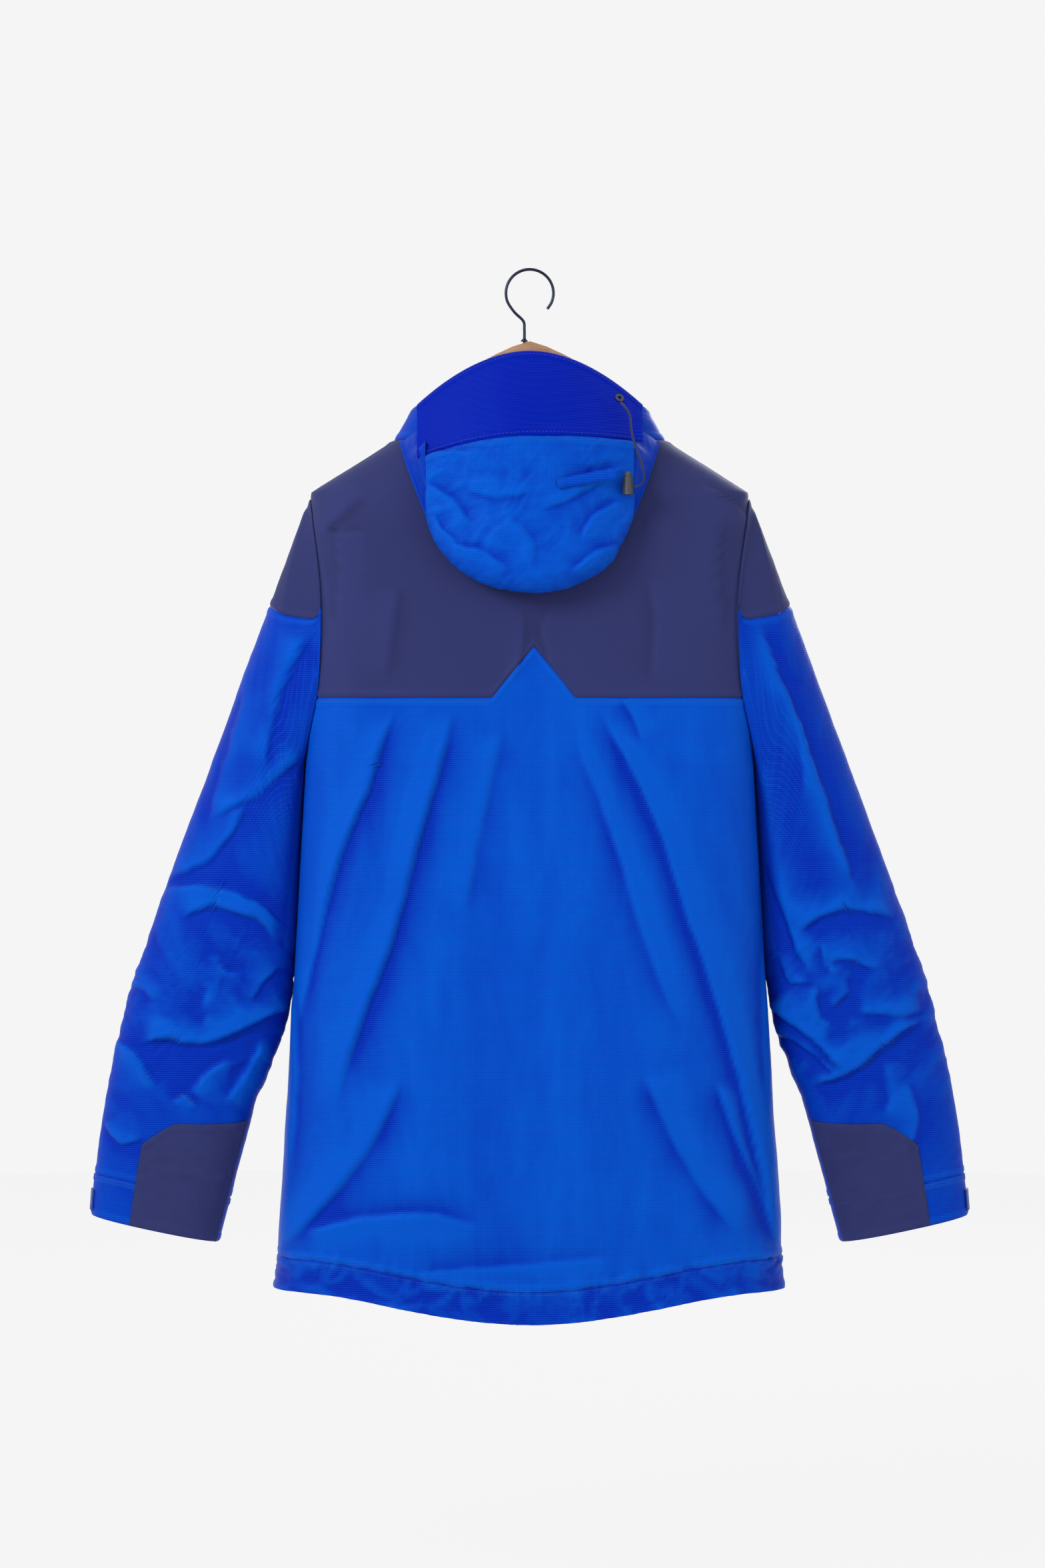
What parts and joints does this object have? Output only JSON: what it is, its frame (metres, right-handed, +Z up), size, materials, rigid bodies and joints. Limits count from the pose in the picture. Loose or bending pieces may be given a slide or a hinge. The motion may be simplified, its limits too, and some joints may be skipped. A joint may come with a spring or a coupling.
{
  "type": "hardshell jacket",
  "caption": "Hooded waterproof shell jacket hanging on a wooden hanger, with panelled body, articulated sleeves, front zip, pocket zips and a hood with a stiffened brim.",
  "frame": {"origin": "inside top of the wire hook, where it bears on a rail", "axes": "+Z up, +Y out of the front of the jacket, +X towards the wearer's right"},
  "size_m": [0.8328, 0.1801, 0.9858],
  "materials": {
    "hook_wire": "dark satin",
    "hanger_wood": "clear satin",
    "blue_shell": "ripstop, slight sheen",
    "navy_shell": "matt plain weave",
    "brim_shell": "ribbed",
    "tab_rubber": "matt",
    "pocket_lining": "mesh",
    "zip_tape": "woven",
    "zip_teeth": "satin",
    "zip_metal": "satin black",
    "pull_rubber": "matt",
    "cord": "braided",
    "lock_plastic": "satin",
    "button_plastic": "satin",
    "eyelet_metal": "dull"
  },
  "bodies": {
    "hook": {"hanger_hook": "hook_wire"},
    "jacket": {"hanger_bar": "hanger_wood", "hanger_ferrule": "hook_wire", "back_yoke": "navy_shell", "back_panel": "blue_shell", "collar": "blue_shell", "hem_band": "blue_shell", "hem_cord": "cord", "hanging_loop": "cord", "zip_tape_left": "zip_tape", "zip_tape_right": "zip_tape", "zip_chain": "zip_teeth", "wind_flap": "navy_shell", "chin_guard": "navy_shell", "front_yoke_left": "navy_shell", "front_panel_left": "blue_shell", "pocket_chain_left": "zip_teeth", "pocket_bag_left": "pocket_lining", "front_yoke_right": "navy_shell", "front_panel_right": "blue_shell", "pocket_chain_right": "zip_teeth", "pocket_bag_right": "pocket_lining", "hem_lock_left_barrel": "lock_plastic", "hem_lock_right_barrel": "lock_plastic"},
    "hood": {"hood_crown": "blue_shell", "hood_brim": "brim_shell", "hood_side_left": "blue_shell", "hood_side_right": "blue_shell", "hood_adjuster": "blue_shell", "hood_eyelet": "eyelet_metal", "hood_lock_barrel": "lock_plastic", "hood_cord": "cord"},
    "hood_button": {"hood_lock_button": "button_plastic"},
    "front_slider": {"zip_slider": "zip_metal"},
    "front_pull": {"zip_pull": "pull_rubber"},
    "sleeve_left": {"sleeve_cap_left": "navy_shell", "upper_sleeve_left": "blue_shell"},
    "lower_sleeve_left": {"forearm_left": "blue_shell", "forearm_patch_left": "navy_shell", "cuff_left": "blue_shell"},
    "tab_left": {"cuff_tab_left": "tab_rubber"},
    "slider_left": {"pocket_slider_left": "zip_metal"},
    "pull_left": {"pocket_pull_left": "pull_rubber"},
    "hem_button_left": {"hem_lock_left_button": "button_plastic"},
    "sleeve_right": {"sleeve_cap_right": "navy_shell", "upper_sleeve_right": "blue_shell"},
    "lower_sleeve_right": {"forearm_right": "blue_shell", "forearm_patch_right": "navy_shell", "cuff_right": "blue_shell"},
    "tab_right": {"cuff_tab_right": "tab_rubber"},
    "slider_right": {"pocket_slider_right": "zip_metal"},
    "pull_right": {"pocket_pull_right": "pull_rubber"},
    "hem_button_right": {"hem_lock_right_button": "button_plastic"}
  },
  "joints": [
    {"name": "hook_swivel", "type": "hinge", "parent": "hook", "child": "jacket", "pos_m": [-0.005, 0, -0.07], "axis": [0, 0, 1], "continuous": true},
    {"name": "hood_lift", "type": "hinge", "parent": "jacket", "child": "hood", "pos_m": [0, -0.046, -0.119], "axis": [-1, 0, 0], "range_deg": [0, 30]},
    {"name": "hood_button_press", "type": "slide", "parent": "hood", "child": "hood_button", "axis": [0, 0, -1], "range_m": [0, 0.004], "stiffness_N_per_m": 400, "springref_m": -0.001},
    {"name": "front_zip", "type": "slide", "parent": "jacket", "child": "front_slider", "axis": [0, 0.043, -0.9991], "range_m": [0, 0.8]},
    {"name": "front_pull_swing", "type": "hinge", "parent": "front_slider", "child": "front_pull", "pos_m": [0, 0.0508, -0.133], "axis": [1, 0, 0], "range_deg": [0, 120]},
    {"name": "sleeve_left_raise", "type": "hinge", "parent": "jacket", "child": "sleeve_left", "pos_m": [-0.2045, -0.004, -0.214], "axis": [0, 1, 0], "range_deg": [0, 50]},
    {"name": "elbow_left", "type": "hinge", "parent": "sleeve_left", "child": "lower_sleeve_left", "pos_m": [-0.2888, 0.0425, -0.6352], "axis": [0.9925, 0, -0.1219], "range_deg": [0, 90]},
    {"name": "cuff_tab_left_peel", "type": "hinge", "parent": "lower_sleeve_left", "child": "tab_left", "pos_m": [-0.391, 0.0369, -0.8706], "axis": [-0.0838, -0.0018, -0.9965], "range_deg": [0, 60]},
    {"name": "pocket_zip_left", "type": "slide", "parent": "jacket", "child": "slider_left", "axis": [-0.1307, 0.0354, -0.9908], "range_m": [0, 0.165]},
    {"name": "pocket_pull_left_swing", "type": "hinge", "parent": "slider_left", "child": "pull_left", "pos_m": [-0.099, 0.0708, -0.5695], "axis": [1, 0, 0], "range_deg": [0, 120]},
    {"name": "hem_button_left_press", "type": "slide", "parent": "jacket", "child": "hem_button_left", "axis": [0, 0, -1], "range_m": [0, 0.004], "stiffness_N_per_m": 400, "springref_m": -0.001},
    {"name": "sleeve_right_raise", "type": "hinge", "parent": "jacket", "child": "sleeve_right", "pos_m": [0.2045, -0.004, -0.214], "axis": [0, -1, 0], "range_deg": [0, 50]},
    {"name": "elbow_right", "type": "hinge", "parent": "sleeve_right", "child": "lower_sleeve_right", "pos_m": [0.2888, 0.0425, -0.6352], "axis": [0.9925, 0, 0.1219], "range_deg": [0, 90]},
    {"name": "cuff_tab_right_peel", "type": "hinge", "parent": "lower_sleeve_right", "child": "tab_right", "pos_m": [0.391, 0.0369, -0.8706], "axis": [0.0838, -0.0018, -0.9965], "range_deg": [-60, 0]},
    {"name": "pocket_zip_right", "type": "slide", "parent": "jacket", "child": "slider_right", "axis": [0.1307, 0.0354, -0.9908], "range_m": [0, 0.165]},
    {"name": "pocket_pull_right_swing", "type": "hinge", "parent": "slider_right", "child": "pull_right", "pos_m": [0.099, 0.0708, -0.5695], "axis": [1, 0, 0], "range_deg": [0, 120]},
    {"name": "hem_button_right_press", "type": "slide", "parent": "jacket", "child": "hem_button_right", "axis": [0, 0, -1], "range_m": [0, 0.004], "stiffness_N_per_m": 400, "springref_m": -0.001}
  ]
}
